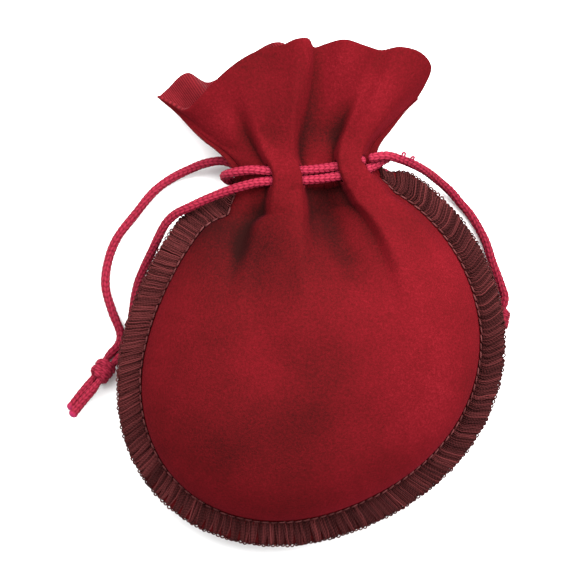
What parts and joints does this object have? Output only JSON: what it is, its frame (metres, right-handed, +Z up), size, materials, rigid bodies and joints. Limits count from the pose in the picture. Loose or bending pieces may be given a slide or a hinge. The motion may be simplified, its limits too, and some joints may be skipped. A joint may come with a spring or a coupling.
{
  "type": "drawstring gift pouch",
  "caption": "Small round velvet pouch with an overlocked rim and a frilled mouth, drawn shut at the neck by knotted cords, lying on its back.",
  "frame": {"origin": "on the table, under the middle of the pouch's outline without its free cords", "axes": "+Z up off the table, through the back panel and then the front panel; +Y out of the mouth; +X towards the pouch's right-hand drawstring"},
  "size_m": [0.1083, 0.121, 0.0341],
  "materials": {
    "velvet": "crimson velvet, short dense pile, matt with a soft sheen; twill on the wrong side",
    "overlock_thread": "dark maroon spun polyester sewing thread",
    "cord": "knitted fuchsia-crimson polyester cord, slight lustre"
  },
  "bodies": {
    "pouch": {"front_panel": "velvet", "back_panel": "velvet", "upper_looper_thread": "overlock_thread", "lower_looper_thread": "overlock_thread", "needle_thread": "overlock_thread", "left_neck_loop": "cord", "right_neck_loop": "cord"},
    "left_drawstring": {"left_front_end": "cord", "left_back_end": "cord", "left_front_tail": "cord", "left_back_tail": "cord", "left_knot": "cord"},
    "right_drawstring": {"right_front_end": "cord", "right_back_end": "cord", "right_front_tail": "cord", "right_back_tail": "cord", "right_knot": "cord"}
  },
  "joints": [
    {"name": "left_drawstring_pull", "type": "slide", "parent": "pouch", "child": "left_drawstring", "axis": [-1, 0, 0], "range_m": [0, 0.012]},
    {"name": "right_drawstring_pull", "type": "slide", "parent": "pouch", "child": "right_drawstring", "axis": [1, 0, 0], "range_m": [0, 0.012]}
  ]
}
